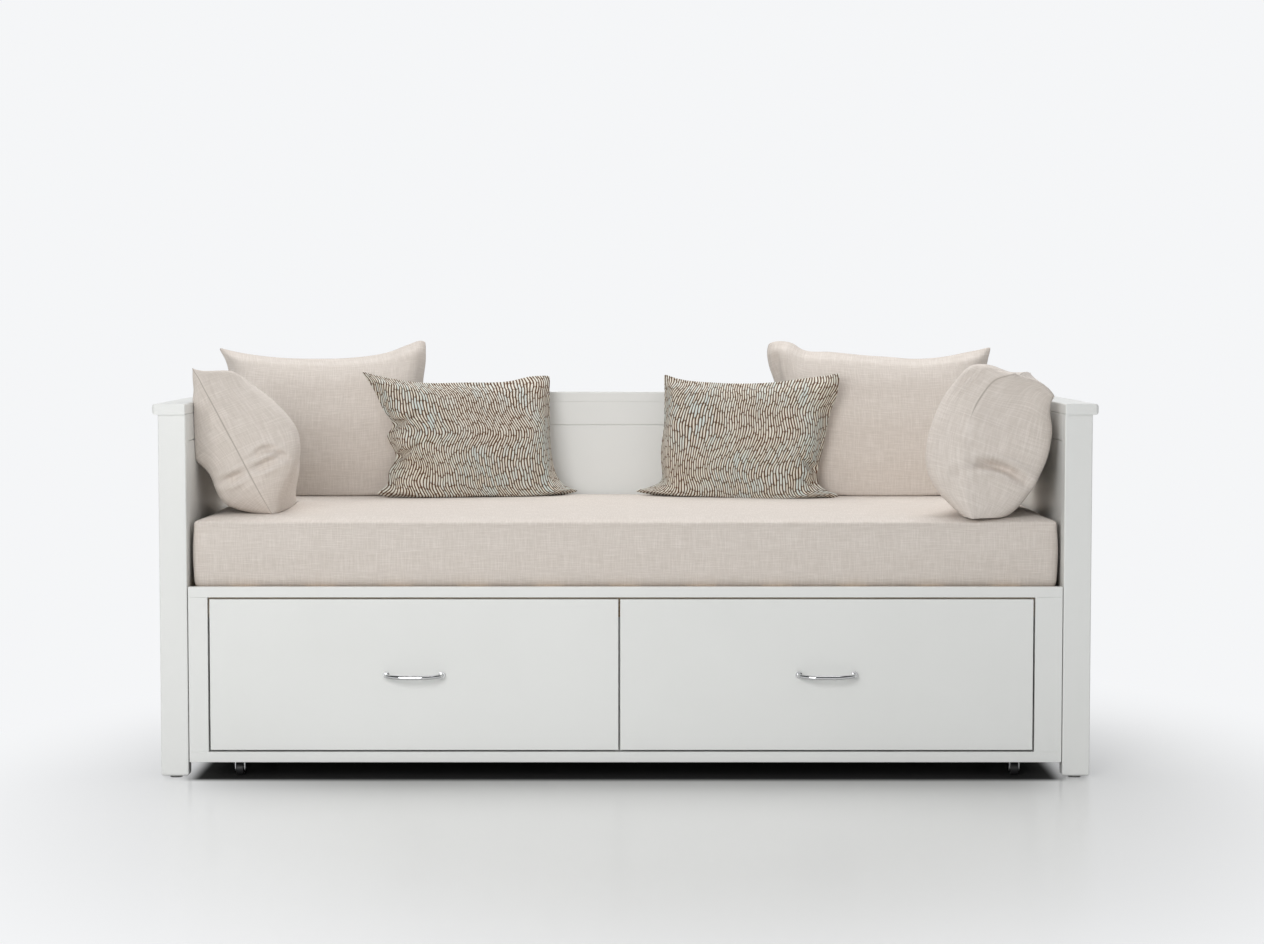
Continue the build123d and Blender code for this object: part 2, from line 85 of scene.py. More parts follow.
lens = bpy.data.cameras.new("photo_lens")
lens.sensor_width = sensor_width
lens.lens = focal_pixels / photo_width * sensor_width
camera = bpy.data.objects.new("photo_camera", lens)
camera.location = (camera_side_step, front_plane - camera_distance, camera_height)
camera.rotation_euler = (math.pi / 2 - camera_tilt, 0, 0)
bpy.context.scene.collection.objects.link(camera)
bpy.context.scene.camera = camera
bpy.context.scene.view_settings.view_transform = "Standard"
print("focal length", round(lens.lens, 2), "mm")

# %% [markdown]
# ## Writing materials as sums
# A procedural finish is a sum of small patterns. Laying out its nodes one by one hides that
# sum, so a socket is wrapped in a class here: adding or multiplying two wrapped sockets adds
# the Math node. Every other node comes from one method, which sets the node's own options
# first and then joins or fills its inputs.

# %% A finish and its wires
class Wire:
    """An output of a node, which makes Math nodes when it is used in a sum."""

    def __init__(self, finish, socket):
        self.finish = finish
        self.socket = socket

    def math(self, operation, *others):
        inputs = dict(enumerate((self, *others)))
        return self.finish.add("ShaderNodeMath", {"operation": operation}, inputs)

    def __add__(self, other):
        return self.math("ADD", other)

    def __sub__(self, other):
        return self.math("SUBTRACT", other)

    def __rsub__(self, other):
        return self.finish.add("ShaderNodeMath", {"operation": "SUBTRACT"}, {0: other, 1: self})

    def __mul__(self, other):
        return self.math("MULTIPLY", other)

    def __truediv__(self, other):
        return self.math("DIVIDE", other)

    def __pow__(self, other):
        return self.math("POWER", other)

    __radd__ = __add__
    __rmul__ = __mul__

    def step(self, start, end):
        """0 below start, 1 above end, and a smooth rise between them."""
        settings = {"interpolation_type": "SMOOTHSTEP"}
        inputs = {"Value": self, "From Min": start, "From Max": end}
        return self.finish.add("ShaderNodeMapRange", settings, inputs)


class Finish:
    """A material, or the world, while its nodes are being made."""

    def __init__(self, name, owner=None):
        self.material = owner or bpy.data.materials.new(name)
        self.material.use_nodes = True
        self.tree = self.material.node_tree
        self.shader = self.tree.nodes.get("Principled BSDF")

    def add(self, kind, settings=None, inputs=None, output=0):
        node = self.tree.nodes.new(kind)
        for key, value in (settings or {}).items():
            setattr(node, key, value)
        for key, value in (inputs or {}).items():
            self.join(node.inputs[key], value)
        return Wire(self, node.outputs[output])

    def join(self, socket, value):
        if isinstance(value, Wire):
            self.tree.links.new(value.socket, socket)
        elif isinstance(value, tuple) and socket.type == "RGBA":
            socket.default_value = (*value, 1)
        else:
            socket.default_value = value

    def set(self, **values):
        """Fill or join inputs of the shader, written with _ for a space."""
        for key, value in values.items():
            self.join(self.shader.inputs[key.replace("_", " ")], value)

    def split(self, vector):
        node = self.tree.nodes.new("ShaderNodeSeparateXYZ")
        self.join(node.inputs[0], vector)
        return [Wire(self, output) for output in node.outputs]

    def pack(self, x, y, z):
        return self.add("ShaderNodeCombineXYZ", None, {0: x, 1: y, 2: z})

    def place(self):
        return self.add("ShaderNodeTexCoord", None, None, "Object")

    def stretch(self, vector, scale, shift=(0, 0, 0)):
        inputs = {"Vector": vector, "Scale": scale, "Location": shift}
        return self.add("ShaderNodeMapping", None, inputs)

    def noise(self, vector, scale=1.0, detail=2.0, roughness=0.5):
        inputs = {"Vector": vector, "Scale": scale, "Detail": detail, "Roughness": roughness}
        return self.add("ShaderNodeTexNoise", None, inputs)

    def blend(self, factor, first, second):
        inputs = {0: factor, 6: first, 7: second}
        return self.add("ShaderNodeMix", {"data_type": "RGBA"}, inputs, 2)

    def ray(self, kind):
        return self.add("ShaderNodeLightPath", None, None, f"Is {kind} Ray")

    def shine(self, node, colour, strength=1.0):
        return self.add(node, None, {"Color": colour, "Strength": strength})

    def choose(self, factor, first, second):
        """The first shader where the factor is 0, and the second where it is 1."""
        return self.add("ShaderNodeMixShader", None, {0: factor, 1: first, 2: second})

    def bump(self, height, distance, strength=1.0):
        inputs = {"Height": height, "Distance": distance, "Strength": strength}
        return self.add("ShaderNodeBump", None, inputs)


# %% [markdown]
# ## Paint
# The boards are sprayed with a satin white lacquer. Close up, sprayed paint is never a flat
# colour: it has a fine orange-peel skin, its tone drifts a little over a board, and its shine
# changes where hands and cloth have touched it. All three are noise at different scales, read
# from the object's own coordinates in metres, so the pattern has a real size.

# %% White paint
paint_colour = (0.815, 0.82, 0.8)
paint_shade = (0.79, 0.795, 0.773)
paint_shine = 0.42
tone_drift_scale = 2.3
orange_peel_scale = 420
orange_peel_height = 0.06 * mm
rub_stretch = (9, 9, 30)


def painted(name):
    """Sprayed satin paint, which drifts to a darker shade."""
    paint = Finish(name)
    place = paint.place()
    drift = paint.noise(place, tone_drift_scale, 3)
    skin = paint.noise(place, orange_peel_scale, 2)
    rub = paint.noise(paint.stretch(place, rub_stretch), 1, 4, 0.6)
    paint.set(Base_Color=paint.blend(drift.step(0.3, 0.8), paint_colour, paint_shade))
    paint.set(Roughness=rub * 0.16 + (paint_shine - 0.08))
    paint.set(Normal=paint.bump(skin + rub * 0.3, orange_peel_height, 0.5))
    paint.set(Coat_Weight=0.12, Coat_Roughness=0.22)
    return paint.material


white_paint = painted("white_paint")
print("made", white_paint.name)

# %% [markdown]
# ## Coated board
# The drawer boxes and the carcase are coated chipboard. Its foil is more even than paint and
# has a faint printed grain with a dry, matt touch, so the pattern is stretched along the board.

# %% Lined board
foil_pale = (0.8, 0.8, 0.785)
foil_grey = (0.765, 0.765, 0.75)
foil_grain_stretch = (3, 3, 240)
foil_speck_scale = 900
foil_height = 0.05 * mm


def lined():
    board = Finish("lined_board")
    place = board.place()
    grain = board.noise(board.stretch(place, foil_grain_stretch), 1, 5, 0.6)
    speck = board.noise(place, foil_speck_scale, 1)
    tone = board.blend(grain.step(0.35, 0.7), foil_pale, foil_grey)
    board.set(Base_Color=tone, Roughness=grain * 0.1 + 0.5)
    board.set(Normal=board.bump(grain + speck * 0.5, foil_height, 0.6))
    return board.material


lined_board = lined()
print("made", lined_board.name)

# %% [markdown]
# ## Pale wood
# Slats, beam and ledgers are sawn softwood. Grain is a set of growth rings that the saw cut
# nearly lengthwise: rings are distance from a far-off centre line, bent by noise, and the
# whole pattern is squeezed across the board. Each slat gets its own stretch of tree by adding
# a random shift to its place number.

# %% Wood
wood_straw = (0.74, 0.58, 0.39)
wood_honey = (0.69, 0.525, 0.34)
ring_brown = (0.5, 0.33, 0.18)
ring_scale = 34
ring_lines = 46
fibre_scale = 900
pore_scale = 2600
grain_height = 0.12 * mm


def sawn(name, along, pitch):
    """Softwood with its grain along X or Y. Boards repeat across it every pitch metres."""
    wood = Finish(name)
    x, y, z = wood.split(wood.place())
    length, across = (x, y) if along == "x" else (y, x)
    board = (across / pitch).math("FLOOR")
    luck = wood.add("ShaderNodeTexWhiteNoise", {"noise_dimensions": "1D"}, {"W": board})
    tree = wood.pack(across * 6 + luck * 7, length * 0.45 + luck * 3, z * 6)
    bend = wood.noise(tree, 1.6, 3)
    bent = across * ring_scale + luck * 5 + bend * 2.2
    ring = wood.noise(wood.pack(bent, length * 0.7 + luck, z * ring_scale), 1.0, 1)
    line = (ring * ring_lines).math("SINE") * 0.5 + 0.5
    fibre = wood.noise(wood.pack(across * fibre_scale, length * 14, z * fibre_scale), 1, 2)
    pore = wood.noise(wood.pack(across * pore_scale, length * 60, z * pore_scale), 1, 1)
    early = wood.blend(luck, wood_straw, wood_honey)
    wood.set(Base_Color=wood.blend(line ** 3 * 0.55 + fibre * 0.12, early, ring_brown))
    wood.set(Roughness=0.68 - line * 0.1)
    wood.set(Normal=wood.bump(line * 0.5 + fibre * 0.5 + pore * 0.25, grain_height, 0.7))
    return wood.material


slat_low, slat_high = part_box("fixed_slats")
slat_count = 23
slat_width = 68 * mm
slat_pitch = (slat_high.x - slat_low.x - slat_width) / (slat_count - 1)
beam_repeat = 0.2
slat_wood = sawn("slat_wood", "y", slat_pitch)
beam_wood = sawn("beam_wood", "x", beam_repeat)
print("slat pitch", round(slat_pitch, 4))

# %% [markdown]
# ## Metal and plastic
# Chrome is almost a mirror, and what gives it away is a little haze from handling. Plated
# steel is duller: zinc grows in flat crystals, which a Voronoi pattern cut into cells shows
# well. The casters are moulded plastic with a fine spark texture, worn lighter in places.

# %% Metal and plastic finishes
chrome_grey = (0.64, 0.645, 0.65)
chrome_bright = (0.7, 0.705, 0.71)
spark_scale = 1500
spark_height = 0.05 * mm
crystal_height = 0.03 * mm


def chromed():
    chrome = Finish("chrome")
    place = chrome.place()
    haze = chrome.noise(place, 160, 3, 0.6)
    smear = chrome.noise(chrome.stretch(place, (60, 700, 700)), 1, 2)
    chrome.set(Base_Color=chrome.blend(haze, chrome_grey, chrome_bright), Metallic=1.0)
    chrome.set(Roughness=haze.step(0.35, 0.75) * 0.07 + smear * 0.05 + 0.04)
    return chrome.material


def plated(name, colour, crystal, shine):
    """Steel with a zinc skin. crystal is the size of its flakes in metres."""
    steel = Finish(name)
    place = steel.place()
    flake = steel.add("ShaderNodeTexVoronoi", None, {"Vector": place, "Scale": 1 / crystal}, 1)
    tone = steel.split(flake)[0]
    drawn = steel.noise(steel.stretch(place, (40, 900, 900)), 1, 3)
    dark = tuple(0.78 * part for part in colour)
    steel.set(Base_Color=steel.blend(tone * 0.6 + drawn * 0.3, colour, dark), Metallic=1.0)
    steel.set(Roughness=tone * 0.14 + drawn * 0.08 + shine)
    steel.set(Normal=steel.bump(drawn + tone * 0.5, crystal_height, 0.5))
    return steel.material


def moulded(name, colour, worn, shine):
    """Moulded plastic with a fine spark texture that is worn lighter in places."""
    plastic = Finish(name)
    place = plastic.place()
    spark = plastic.noise(place, spark_scale, 1)
    scuff = plastic.noise(place, 70, 4, 0.7)
    plastic.set(Base_Color=plastic.blend(scuff.step(0.55, 0.85), colour, worn))
    plastic.set(Roughness=scuff * 0.25 + shine)
    plastic.set(Normal=plastic.bump(spark, spark_height, 0.6))
    return plastic.material


chrome = chromed()
galvanised = plated("galvanised_steel", colour=(0.62, 0.63, 0.64), crystal=7 * mm, shine=0.28)
zinc = plated("zinc_fasteners", colour=(0.66, 0.66, 0.64), crystal=2 * mm, shine=0.22)
caster_plastic = moulded(
    "black_caster", colour=(0.02, 0.02, 0.021), worn=(0.06, 0.058, 0.055), shine=0.35
)
glide_plastic = moulded(
    "glide_plastic", colour=(0.12, 0.12, 0.118), worn=(0.2, 0.197, 0.19), shine=0.4
)
print("made 5 metal and plastic finishes")

# %% Give every hard piece its finish
finishes = {
    "white_paint": white_paint,
    "lined_board": lined_board,
    "pale_wood": beam_wood,
    "chrome": chrome,
    "galvanised_steel": galvanised,
    "zinc_fasteners": zinc,
    "black_caster": caster_plastic,
    "glide_plastic": glide_plastic,
}
hard_pieces = {p["node"]: p["material_slot"] for p in frame["record"]["subparts"]}
for name, slot in hard_pieces.items():
    if slot in finishes:
        finish = slat_wood if name.endswith("_slats") else finishes[slot]
        nodes[name].material_slots[0].material = finish
print("finished", sum(slot in finishes for slot in hard_pieces.values()), "hard pieces")

# %% [markdown]
# ## Linen
# The covers are a plain weave of slubby linen yarn. In a plain weave each thread goes over
# one and under the next, so the height at a point is the warp thread or the weft thread in
# turn. Slubs are thick places in the yarn: noise that is very long one way and one thread
# wide the other way. The pattern reads a UV map in metres that is laid on the flat cloth
# before the cushion is filled, so the threads follow every fold as they do in real cloth.

# %% Linen
linen_light = (0.80, 0.735, 0.68)
linen_dark = (0.60, 0.535, 0.475)
thread = 1.5 * mm
thread_wander = 1.4 * mm
wander_scale = 38
fine_slub = (1.5 * mm, 26 * mm)
coarse_slub = (2.7 * mm, 52 * mm)
stitch_width = 0.5 * mm
weave_height = 0.7 * mm


def woven(x, y):
    """The height of a plain weave: over and under, thread by thread."""
    warp = (x * (math.pi / thread)).math("SINE")
    weft = (y * (math.pi / thread)).math("SINE")
    over = warp * weft * 0.5 + 0.5
    return warp.math("ABSOLUTE") * over + weft.math("ABSOLUTE") * (1 - over)


def slubs(cloth, uv, width, length, seed):
    """Thick stretches of yarn, in both directions of the weave."""
    across = cloth.noise(cloth.stretch(uv, (1 / length, 1 / width, 1), (seed, 0, 0)), 1, 2, 0.55)
    up = cloth.noise(cloth.stretch(uv, (1 / width, 1 / length, 1), (0, seed, 0)), 1, 2, 0.55)
    return across.step(0.4, 0.72) * 0.5 + up.step(0.4, 0.72) * 0.5


def linen(name, seed):
    cloth = Finish(name)
    uv = cloth.add("ShaderNodeUVMap", {"uv_map": "cloth"})
    wander = cloth.noise(uv, wander_scale, 1) * thread_wander
    x, y, _ = cloth.split(uv)
    weave = woven(x + wander, y + wander)
    fine = slubs(cloth, uv, *fine_slub, seed)
    coarse = slubs(cloth, uv, *coarse_slub, seed + 40)
    drift = cloth.noise(cloth.stretch(uv, (1, 1, 1), (seed, seed, 0)), 9, 3)
    tone = coarse * 0.6 + fine * 0.4 + weave * 0.16 + drift * 0.16 + 0.07
    seam = cloth.add("ShaderNodeAttribute", {"attribute_name": "seam_distance"}, None, 2)
    stitched = seam.step(0.0, stitch_width)
    colour = cloth.blend(tone, linen_dark, linen_light)
    shaded = cloth.blend(stitched, tuple(0.8 * part for part in linen_dark), colour)
    height = weave * 0.45 + fine * 0.5 + coarse * 0.6 + stitched * 0.6
    cloth.set(Base_Color=shaded, Roughness=0.93 - fine * 0.08)
    cloth.set(Normal=cloth.bump(height, weave_height, 0.75))
    cloth.set(Sheen_Weight=0.12, Sheen_Roughness=0.5, Specular_IOR_Level=0.25)
    return cloth.material


mattress_linen = linen("mattress_linen", seed=3.0)
cushion_linen = linen("cushion_linen", seed=11.0)
print("made two linens")

# %% [markdown]
# ## Dashed jacquard
# The two small cushions have a jacquard of short upright dashes, pale on brown. Each dash is
# a bar with rounded ends in a cell of its own. The cells stand in columns, each column starts
# at its own height, and the columns are bent by noise, so no rows show. The pale yarn lies on
# top, and so stands up.

# %% Patterned fabric
dash_cream = (0.88, 0.825, 0.71)
dash_blue = (0.67, 0.785, 0.775)
ground_rust = (0.12, 0.052, 0.022)
ground_brown = (0.12, 0.07, 0.04)
dash_pitch = 7.3 * mm
dash_length = 27 * mm
dash_height = 1.1 * mm
column_sway = 62 * mm
column_wobble = 6 * mm
pattern_yarn = 1.1 * mm


def dashed():
    cloth = Finish("patterned_fabric")
    uv = cloth.add("ShaderNodeUVMap", {"uv_map": "cloth"})
    x, y, _ = cloth.split(uv)
    sway = (cloth.noise(cloth.stretch(uv, (3.5, 11, 1)), 1, 0) - 0.5) * column_sway
    wobble = (cloth.noise(cloth.stretch(uv, (30, 40, 1)), 1, 0) - 0.5) * column_wobble
    across = (x + sway + wobble) / dash_pitch
    column = across.math("FLOOR")
    start = cloth.add("ShaderNodeTexWhiteNoise", {"noise_dimensions": "1D"}, {"W": column})
    up = (y / dash_length) * (start * 0.4 + 0.85) + start * 9
    row = up.math("FLOOR")
    number = cloth.pack(column, row, 0)
    luck = cloth.add("ShaderNodeTexWhiteNoise", {"noise_dimensions": "2D"}, {"Vector": number})
    side = (across - column) * 2 - 1
    rise = (up - row) * 2 - 1
    width = luck * 0.2 + 0.52
    far = (side / width) ** 2 + rise ** 6
    dash = 1 - far.step(0.5, 1.2)
    tint = cloth.noise(uv, 7, 2)
    blue = tint.step(0.3, 0.7) * luck.step(0.2, 0.8) * 0.7
    pale = cloth.blend(blue, dash_cream, dash_blue)
    brown = cloth.blend(tint.step(0.35, 0.65), ground_rust, ground_brown)
    yarn = (y * (math.pi / pattern_yarn)).math("SINE").math("ABSOLUTE")
    cloth.set(Base_Color=cloth.blend(dash * (yarn * 0.25 + 0.75), brown, pale))
    cloth.set(Roughness=0.86 - dash * 0.12)
    cloth.set(Normal=cloth.bump(dash + yarn * 0.25, dash_height, 0.8))
    cloth.set(Sheen_Weight=0.1, Sheen_Roughness=0.5, Specular_IOR_Level=0.25)
    return cloth.material


patterned = dashed()
print("made", patterned.name)

# %% [markdown]
# ## Reading and writing points
# A mesh is shaped here in two ways: with Blender's own tools in edit mode, and by moving its
# points as a sculptor would, with a soft brush. The brush needs the points as one array. Each
# point of a cover also keeps its distance from the seam, which the fabric and the creases read.

# %% Points, and a soft brush
def read(items, key, kind=float, width=1):
    """What all items of a mesh store under a key, as one array."""
    values = np.empty(len(items) * width, kind)
    items.foreach_get(key, values)
    return values.reshape(-1, width) if width > 1 else values


def points_of(piece):
    return read(piece.data.vertices, "co", width=3)


def set_points(piece, points):
    piece.data.vertices.foreach_set("co", points.ravel())
    piece.data.update()


def edge_ends(piece):
    """The numbers of the points at both ends of each edge."""
    return read(piece.data.edges, "vertices", int, 2).T


def face_corners(piece):
    """The number of the point at each corner of each face."""
    return read(piece.data.loops, "vertex_index", int)


def seam_distances(piece):
    return read(piece.data.attributes["seam_distance"].data, "value", np.float32)


def set_seam_distances(piece, distances):
    layers = piece.data.attributes
    layer = layers.get("seam_distance") or layers.new("seam_distance", "FLOAT", "POINT")
    layer.data.foreach_set("value", distances.astype(np.float32))


def pull(points, centre, reach, move):
    """Move what lies near a place, less and less towards the edge of the brush."""
    distance = np.linalg.norm((points - np.array(centre)) / np.array(reach), axis=1)
    weight = np.clip(1 - distance ** 2, 0, 1) ** 2
    return points + weight[:, None] * np.array(move)


def calmed(piece, moves, times):
    """Moves that are averaged with those of the neighbouring points, again and again."""
    one, other = edge_ends(piece)
    count = np.bincount(np.append(one, other), minlength=len(moves))[:, None] + 1
    for _ in range(times):
        total = moves.copy()
        np.add.at(total, one, moves[other])
        np.add.at(total, other, moves[one])
        moves = total / count
    return moves


def line_distance(places, path):
    """The distance of each place from a path of straight runs, and the nearest run's share."""
    best = np.full(len(places), np.inf)
    share = np.zeros(len(places))
    for number, (start, end) in enumerate(zip(path, path[1:])):
        start, run = np.array(start), np.array(end) - np.array(start)
        along = np.clip((places - start) @ run / (run @ run), 0, 1)
        distance = np.linalg.norm(places - start - along[:, None] * run, axis=1)
        nearer = distance < best
        best[nearer] = distance[nearer]
        share[nearer] = (number + along[nearer]) / (len(path) - 1)
    return best, share


# %% [markdown]
# ## Creases, placed on the photograph
# A crease is easiest to place where it is seen: as a short line of pixels on the photograph.
# Each point of the cushion is projected through the camera, its distance from that line is
# measured, and the points near it sink along their normals, with a soft swell on both sides.
# Only what faces the camera moves, so the hidden side keeps its shape, and a crease stops short
# of the seam, so that it never pulls the seam open. A crease is written as its line, its width
# and its depth in millimetres.

# %% Where a point stands in the photograph, and creases there
def photo_places(points):
    """The pixels where points are seen, and their distances from the camera."""
    turned = (points - np.array(camera.location)) @ np.array(camera.rotation_euler.to_matrix())
    distance = -turned[:, 2]
    x = photo_width / 2 + focal_pixels * turned[:, 0] / distance
    y = photo_height / 2 - focal_pixels * turned[:, 1] / distance
    return np.stack([x, y], 1), distance


crease_clearance = 12 * mm
crease_facing = 1.6
crease_end = 0.04
crease_taper = 0.6
swell_share = 0.35
swell_place = 2.2


def crease(piece, line, width, depth):
    """Sink a valley along a line of photograph pixels, fading to both its ends."""
    points = points_of(piece)
    normals = read(piece.data.vertex_normals, "vector", width=3)
    places, distance = photo_places(points)
    gap, share = line_distance(places, line)
    gap = gap * distance / focal_pixels
    facing = np.clip(-crease_facing * normals[:, 1], 0, 1)
    clear = np.clip(seam_distances(piece) / crease_clearance, 0, 1)
    swell = np.exp(-((gap / width - swell_place) ** 2))
    valley = np.exp(-((gap / width) ** 2)) - swell_share * swell
    ends = np.sin(np.clip(share, crease_end, 1 - crease_end) * math.pi) ** crease_taper
    set_points(piece, points - normals * (depth * valley * ends * facing * clear)[:, None])


# %% [markdown]
# ## Filling a cushion
# A cushion cover is two flat sheets that are sewn together all round. Filled, the middle
# rises, the sides are drawn in, the corners stay behind as points and the seam puckers. The
# cloth simulation does all of that by itself if it starts from the flat cover: a grid that is
# extruded by the thickness of its seam, with pressure inside and no gravity. It is blown up
# hard, in four frames, and each point's move is then averaged with its neighbours', so that
# every run gives nearly the same shape, without ripples. The edges along the seam are marked
# as creases, so that the smoothing later on doesn't open it.

# %% Sew and fill a cover
cell = 7.5 * mm
seam_width = 1.2 * mm
fill_pressure = 81.0
fill_frames = 4
fill_calming = 8


def sewn_cover(name, width, height):
    """Two flat sheets with a seam round them, and the cloth's own map in metres."""
    columns, rows = round(width / cell), round(height / cell)
    bpy.ops.mesh.primitive_grid_add(x_subdivisions=columns, y_subdivisions=rows, size=1)
    cover = bpy.context.object
    cover.name = name
    bpy.ops.object.mode_set(mode="EDIT")
    bpy.ops.mesh.select_all(action="SELECT")
    bpy.ops.transform.resize(value=(width, height, 1))
    bpy.ops.mesh.extrude_region_move(TRANSFORM_OT_translate={"value": (0, 0, seam_width)})
    bpy.ops.mesh.select_all(action="SELECT")
    bpy.ops.mesh.normals_make_consistent(inside=False)
    bpy.ops.object.mode_set(mode="OBJECT")
    points = points_of(cover)
    points[:, 2] -= seam_width / 2
    set_points(cover, points)
    lay_cloth(cover, points[face_corners(cover), :2])
    edge = np.minimum(width / 2 - abs(points[:, 0]), height / 2 - abs(points[:, 1]))
    set_seam_distances(cover, edge)
    one, other = edge_ends(cover)
    level = abs(points[one, 2] - points[other, 2]) < play
    along_seam = (edge[one] < play) & (edge[other] < play) & level
    sharp = cover.data.attributes.new("crease_edge", "FLOAT", "EDGE")
    sharp.data.foreach_set("value", along_seam.astype(np.float32))
    return cover


def lay_cloth(piece, places):
    """Write a place in metres for each face corner into the UV map that the fabrics read."""
    layers = piece.data.uv_layers
    while layers:
        layers.remove(layers[0])
    layer = layers.new(name="cloth")
    layer.data.foreach_set("uv", places.astype(np.float32).ravel())


def fill(cover, pressure, calming):
    """Blow the cover up with the cloth simulation and keep the calmed result as its mesh."""
    flat = points_of(cover)
    cloth = cover.modifiers.new("Cloth", "CLOTH")
    yarn = cloth.settings
    yarn.use_pressure = True
    yarn.uniform_pressure_force = pressure
    yarn.effector_weights.gravity = 0
    cloth.collision_settings.use_collision = False
    cloth.point_cache.frame_end = fill_frames
    for number in range(1, fill_frames + 1):
        bpy.context.scene.frame_set(number)
    bpy.ops.object.modifier_apply(modifier="Cloth")
    bpy.context.scene.frame_set(1)
    set_points(cover, flat + calmed(cover, points_of(cover) - flat, calming))


# %% [markdown]
# ## Shaping a cushion
# The simulation knows cloth, but not this cushion: how full it is at its foot and at its
# head, and how its seam runs. So the filled cover is corrected twice. Each half is given its
# real depth at each height, as a profile from foot to head. Then the seam is carried to the
# outline that the photograph shows, and all that lies between the four sides moves in step:
# the shift of a point is blended from the shifts of the seam beside, above and below it.

# %% Depth and outline
smoothing_reach = 3
least_depth = 12 * mm
depth_change = (0.2, 3)


def smoothed(values):
    """A running mean that keeps the two ends where they are."""
    count = 2 * smoothing_reach + 1
    margins = [(smoothing_reach, smoothing_reach)] + [(0, 0)] * (values.ndim - 1)
    wide = np.pad(values, margins, "reflect", reflect_type="odd")
    return sum(wide[start : start + len(values)] for start in range(count)) / count


def deepen(points, height_share, face, profile):
    """Give one half its depths in millimetres at shares of the height, from foot to head."""
    heights = np.unique(height_share.round(4))
    depth = face * points[:, 2]
    present = np.array([depth[abs(height_share - height) < 1e-3].max() for height in heights])
    wanted = np.interp(heights, *zip(*profile)) * mm
    factor = smoothed(np.clip(wanted / np.maximum(present, least_depth), *depth_change))
    shaped = points.copy()
    half = depth > 0
    shaped[half, 2] *= np.interp(height_share[half], heights, factor)
    return shaped


def path_places(path, shares):
    """Places on a smooth line through a path in millimetres, at shares of its length."""
    stops = np.zeros((len(path), 3))
    stops[:, : len(path[0])] = path
    steps = np.linalg.norm(np.diff(stops, axis=0), axis=1)
    knots = np.append(0, np.cumsum(steps)) / steps.sum()
    slopes = np.gradient(stops, knots, axis=0)
    run = np.clip(np.searchsorted(knots, shares) - 1, 0, len(knots) - 2)
    gap = (knots[run + 1] - knots[run])[:, None]
    t = (shares - knots[run])[:, None] / gap
    value = stops[run] * (2 * t**3 - 3 * t**2 + 1) + stops[run + 1] * (3 * t**2 - 2 * t**3)
    slope = slopes[run] * (t**3 - 2 * t**2 + t) + slopes[run + 1] * (t**3 - t**2)
    return (value + slope * gap) * mm


def carry_seam(filled, share, seam):
    """Close the seam, and carry it to its real outline with all between its four sides."""
    points = filled.copy()
    shift = {}
    for side, axis, edge in (("left", 0, 0), ("right", 0, 1), ("bottom", 1, 0), ("top", 1, 1)):
        on_side = np.flatnonzero(abs(share[:, axis] - edge) < 1e-3)
        order = on_side[np.argsort(share[on_side, 1 - axis], kind="stable")]
        places = share[order, 1 - axis].reshape(-1, 2).mean(1)
        pairs = points[order].reshape(-1, 2, 3)
        middle = pairs.mean(1)
        pairs[:, :, :2] = middle[:, None, :2]
        side_of_seam = share[order, 2].reshape(-1, 2) - 0.5
        pairs[:, :, 2] = middle[:, None, 2] + side_of_seam * seam_width
        points[order] = pairs.reshape(-1, 3)
        moves = path_places(seam[side], places) - smoothed(middle)
        along = share[:, 1 - axis]
        shift[side] = np.stack([np.interp(along, places, move) for move in moves.T], 1)
        shift[side, 0], shift[side, 1] = moves[0], moves[-1]
    x, y = share[:, :1], share[:, 1:2]
    sideways = (1 - x) * shift["left"] + x * shift["right"]
    low = shift["bottom"] - (1 - x) * shift["bottom", 0] - x * shift["bottom", 1]
    high = shift["top"] - (1 - x) * shift["top", 0] - x * shift["top", 1]
    return points + sideways + (1 - y) * low + y * high


# %% [markdown]
# ## Setting a cushion down
# The shaped cushion lies flat at the origin. It is stood up in its seam plane, and what
# would reach into the mattress, the frame or the cushion behind it is pressed flat there.

# %% The place in the bed
cover_ease = 1.027
cushion_sink = 9 * mm
to_the_right = (1, 0, 0)
to_the_back = (0, 1, 0)
to_the_front = (0, -1, 0)


def standing(size, x, y, across, turn, lean):
    """The seam plane of a cushion on the mattress, as a matrix: across, up, towards its front."""
    width_dir = Matrix.Rotation(math.radians(turn), 3, "Z") @ Vector(across)
    height_dir = Matrix.Rotation(math.radians(-lean), 3, width_dir) @ Vector((0, 0, 1))
    facing = width_dir.cross(height_dir)
    middle = Vector((x, y, seat - cushion_sink)) + height_dir * (size[1] * mm / 2)
    turned = Matrix((width_dir, height_dir, facing)).transposed().to_4x4()
    return Matrix.Translation(middle) @ turned


def press(points):
    """Flatten against the mattress, the back and the end panels what would reach into them."""
    pressed = points.copy()
    pressed[:, 2] = np.maximum(pressed[:, 2], seat)
    low = pressed[:, 2] < cap_top + play
    pressed[low, 1] = np.minimum(pressed[low, 1], back_face - play)
    pressed[low, 0] = np.clip(pressed[low, 0], play - inner_side, inner_side - play)
    return pressed


def lean_on(piece, other):
    """Press a cushion back to the front of another one where it would reach into it."""
    tree = BVHTree.FromObject(other, bpy.context.evaluated_depsgraph_get())
    points = points_of(piece)
    for point in points:
        start = (point[0], front_plane, point[2])
        hit = tree.ray_cast(start, to_the_back)[0]
        if hit and point[1] > hit.y - play:
            point[1] = hit.y - play
    set_points(piece, points)


def soften(piece):
    """Smooth the piece that is being made with one subdivision."""
    smoothing = piece.modifiers.new("Soften", "SUBSURF")
    smoothing.levels = smoothing.render_levels = 1
    bpy.ops.object.modifier_apply(modifier="Soften")
    bpy.ops.object.shade_smooth()


